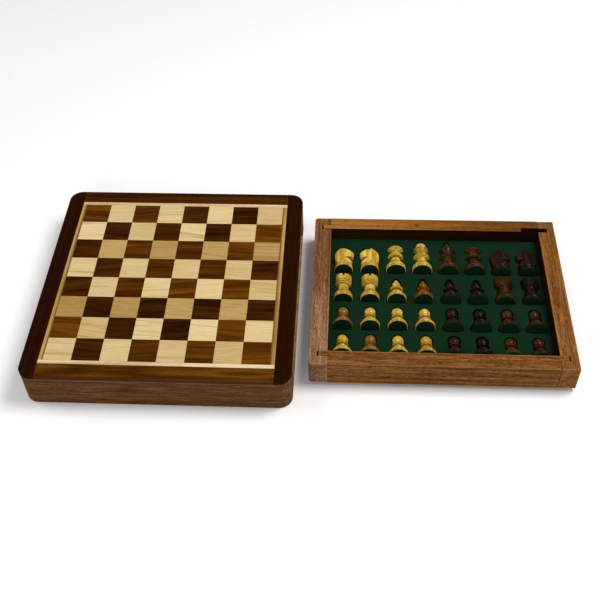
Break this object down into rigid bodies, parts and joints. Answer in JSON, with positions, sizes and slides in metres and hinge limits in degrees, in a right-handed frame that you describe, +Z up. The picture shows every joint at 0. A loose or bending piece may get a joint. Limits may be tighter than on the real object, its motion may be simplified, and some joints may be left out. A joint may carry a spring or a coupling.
{
  "type": "chess box with drawing tray",
  "caption": "Flat wooden chessboard box, open at both ends, with a draw-out tray of felt-lined pockets that hold a set of small magnetic chessmen.",
  "frame": {"origin": "middle of the underside of the board box", "axes": "+X the way the tray draws out, +Y from the front wall to the back wall, +Z up"},
  "size_m": [0.364, 0.178, 0.0275],
  "materials": {
    "wall_wood": "oiled, fine straight grain along the wall",
    "plywood": "sanded plywood",
    "steel": "bare sheet, hidden",
    "rosewood_strip": "polished, nearly black",
    "walnut_strip": "polished dark brown",
    "sheesham_strip": "polished golden brown with dark streaks",
    "maple": "satin pale strip",
    "light_square_wood": "satin pale wood, grain across the board",
    "dark_square_wood": "satin brown to nearly black wood",
    "pull_rail_wood": "oiled pinkish brown wood with fine pores",
    "rail_wood": "oiled golden brown wood with flecks",
    "foam": "dense black foam with cut pockets",
    "felt": "flocked dark green felt",
    "boxwood": "turned and polished yellow wood with brown lines",
    "rosewood": "turned and polished dark red-brown wood"
  },
  "bodies": {
    "board_box": {"wall_front": "wall_wood", "wall_back": "wall_wood", "bottom_panel": "plywood", "backing_panel": "plywood", "steel_sheet": "steel", "frame_left": "rosewood_strip", "frame_right": "rosewood_strip", "frame_front": "sheesham_strip", "frame_back": "walnut_strip", "inlay_left": "maple", "inlay_right": "maple", "inlay_front": "maple", "inlay_back": "maple", "light_squares": "light_square_wood", "dark_squares": "dark_square_wood"},
    "tray": {"end_rail_pull": "pull_rail_wood", "end_rail_far": "rail_wood", "side_rail_front": "rail_wood", "side_rail_back": "rail_wood", "tray_bottom": "plywood", "felt_lining": "felt", "pocket_foam_1": "foam", "pocket_foam_2": "foam", "pocket_foam_3": "foam", "pocket_foam_4": "foam"},
    "light_knight_1": {"light_knight_1": "boxwood"},
    "light_knight_2": {"light_knight_2": "boxwood"},
    "light_queen": {"light_queen": "boxwood"},
    "light_king": {"light_king": "boxwood"},
    "dark_king": {"dark_king": "rosewood"},
    "dark_queen": {"dark_queen": "rosewood"},
    "dark_knight_1": {"dark_knight_1": "rosewood"},
    "dark_knight_2": {"dark_knight_2": "rosewood"},
    "light_rook_1": {"light_rook_1": "boxwood"},
    "light_rook_2": {"light_rook_2": "boxwood"},
    "light_bishop_1": {"light_bishop_1": "boxwood"},
    "light_bishop_2": {"light_bishop_2": "boxwood"},
    "dark_bishop_1": {"dark_bishop_1": "rosewood"},
    "dark_bishop_2": {"dark_bishop_2": "rosewood"},
    "dark_rook_1": {"dark_rook_1": "rosewood"},
    "dark_rook_2": {"dark_rook_2": "rosewood"},
    "light_pawn_1": {"light_pawn_1": "boxwood"},
    "light_pawn_2": {"light_pawn_2": "boxwood"},
    "light_pawn_3": {"light_pawn_3": "boxwood"},
    "light_pawn_4": {"light_pawn_4": "boxwood"},
    "dark_pawn_1": {"dark_pawn_1": "rosewood"},
    "dark_pawn_2": {"dark_pawn_2": "rosewood"},
    "dark_pawn_3": {"dark_pawn_3": "rosewood"},
    "dark_pawn_4": {"dark_pawn_4": "rosewood"},
    "light_pawn_5": {"light_pawn_5": "boxwood"},
    "light_pawn_6": {"light_pawn_6": "boxwood"},
    "light_pawn_7": {"light_pawn_7": "boxwood"},
    "light_pawn_8": {"light_pawn_8": "boxwood"},
    "dark_pawn_5": {"dark_pawn_5": "rosewood"},
    "dark_pawn_6": {"dark_pawn_6": "rosewood"},
    "dark_pawn_7": {"dark_pawn_7": "rosewood"},
    "dark_pawn_8": {"dark_pawn_8": "rosewood"}
  },
  "joints": [
    {"name": "tray_slide", "type": "slide", "parent": "board_box", "child": "tray", "axis": [1, 0, 0], "range_m": [-0.187, 0]},
    {"name": "lift_light_knight_1", "type": "slide", "parent": "tray", "child": "light_knight_1", "axis": [0, 0, 1], "range_m": [0, 0.03]},
    {"name": "lift_light_knight_2", "type": "slide", "parent": "tray", "child": "light_knight_2", "axis": [0, 0, 1], "range_m": [0, 0.03]},
    {"name": "lift_light_queen", "type": "slide", "parent": "tray", "child": "light_queen", "axis": [0, 0, 1], "range_m": [0, 0.03]},
    {"name": "lift_light_king", "type": "slide", "parent": "tray", "child": "light_king", "axis": [0, 0, 1], "range_m": [0, 0.03]},
    {"name": "lift_dark_king", "type": "slide", "parent": "tray", "child": "dark_king", "axis": [0, 0, 1], "range_m": [0, 0.03]},
    {"name": "lift_dark_queen", "type": "slide", "parent": "tray", "child": "dark_queen", "axis": [0, 0, 1], "range_m": [0, 0.03]},
    {"name": "lift_dark_knight_1", "type": "slide", "parent": "tray", "child": "dark_knight_1", "axis": [0, 0, 1], "range_m": [0, 0.03]},
    {"name": "lift_dark_knight_2", "type": "slide", "parent": "tray", "child": "dark_knight_2", "axis": [0, 0, 1], "range_m": [0, 0.03]},
    {"name": "lift_light_rook_1", "type": "slide", "parent": "tray", "child": "light_rook_1", "axis": [0, 0, 1], "range_m": [0, 0.03]},
    {"name": "lift_light_rook_2", "type": "slide", "parent": "tray", "child": "light_rook_2", "axis": [0, 0, 1], "range_m": [0, 0.03]},
    {"name": "lift_light_bishop_1", "type": "slide", "parent": "tray", "child": "light_bishop_1", "axis": [0, 0, 1], "range_m": [0, 0.03]},
    {"name": "lift_light_bishop_2", "type": "slide", "parent": "tray", "child": "light_bishop_2", "axis": [0, 0, 1], "range_m": [0, 0.03]},
    {"name": "lift_dark_bishop_1", "type": "slide", "parent": "tray", "child": "dark_bishop_1", "axis": [0, 0, 1], "range_m": [0, 0.03]},
    {"name": "lift_dark_bishop_2", "type": "slide", "parent": "tray", "child": "dark_bishop_2", "axis": [0, 0, 1], "range_m": [0, 0.03]},
    {"name": "lift_dark_rook_1", "type": "slide", "parent": "tray", "child": "dark_rook_1", "axis": [0, 0, 1], "range_m": [0, 0.03]},
    {"name": "lift_dark_rook_2", "type": "slide", "parent": "tray", "child": "dark_rook_2", "axis": [0, 0, 1], "range_m": [0, 0.03]},
    {"name": "lift_light_pawn_1", "type": "slide", "parent": "tray", "child": "light_pawn_1", "axis": [0, 0, 1], "range_m": [0, 0.03]},
    {"name": "lift_light_pawn_2", "type": "slide", "parent": "tray", "child": "light_pawn_2", "axis": [0, 0, 1], "range_m": [0, 0.03]},
    {"name": "lift_light_pawn_3", "type": "slide", "parent": "tray", "child": "light_pawn_3", "axis": [0, 0, 1], "range_m": [0, 0.03]},
    {"name": "lift_light_pawn_4", "type": "slide", "parent": "tray", "child": "light_pawn_4", "axis": [0, 0, 1], "range_m": [0, 0.03]},
    {"name": "lift_dark_pawn_1", "type": "slide", "parent": "tray", "child": "dark_pawn_1", "axis": [0, 0, 1], "range_m": [0, 0.03]},
    {"name": "lift_dark_pawn_2", "type": "slide", "parent": "tray", "child": "dark_pawn_2", "axis": [0, 0, 1], "range_m": [0, 0.03]},
    {"name": "lift_dark_pawn_3", "type": "slide", "parent": "tray", "child": "dark_pawn_3", "axis": [0, 0, 1], "range_m": [0, 0.03]},
    {"name": "lift_dark_pawn_4", "type": "slide", "parent": "tray", "child": "dark_pawn_4", "axis": [0, 0, 1], "range_m": [0, 0.03]},
    {"name": "lift_light_pawn_5", "type": "slide", "parent": "tray", "child": "light_pawn_5", "axis": [0, 0, 1], "range_m": [0, 0.03]},
    {"name": "lift_light_pawn_6", "type": "slide", "parent": "tray", "child": "light_pawn_6", "axis": [0, 0, 1], "range_m": [0, 0.03]},
    {"name": "lift_light_pawn_7", "type": "slide", "parent": "tray", "child": "light_pawn_7", "axis": [0, 0, 1], "range_m": [0, 0.03]},
    {"name": "lift_light_pawn_8", "type": "slide", "parent": "tray", "child": "light_pawn_8", "axis": [0, 0, 1], "range_m": [0, 0.03]},
    {"name": "lift_dark_pawn_5", "type": "slide", "parent": "tray", "child": "dark_pawn_5", "axis": [0, 0, 1], "range_m": [0, 0.03]},
    {"name": "lift_dark_pawn_6", "type": "slide", "parent": "tray", "child": "dark_pawn_6", "axis": [0, 0, 1], "range_m": [0, 0.03]},
    {"name": "lift_dark_pawn_7", "type": "slide", "parent": "tray", "child": "dark_pawn_7", "axis": [0, 0, 1], "range_m": [0, 0.03]},
    {"name": "lift_dark_pawn_8", "type": "slide", "parent": "tray", "child": "dark_pawn_8", "axis": [0, 0, 1], "range_m": [0, 0.03]}
  ]
}
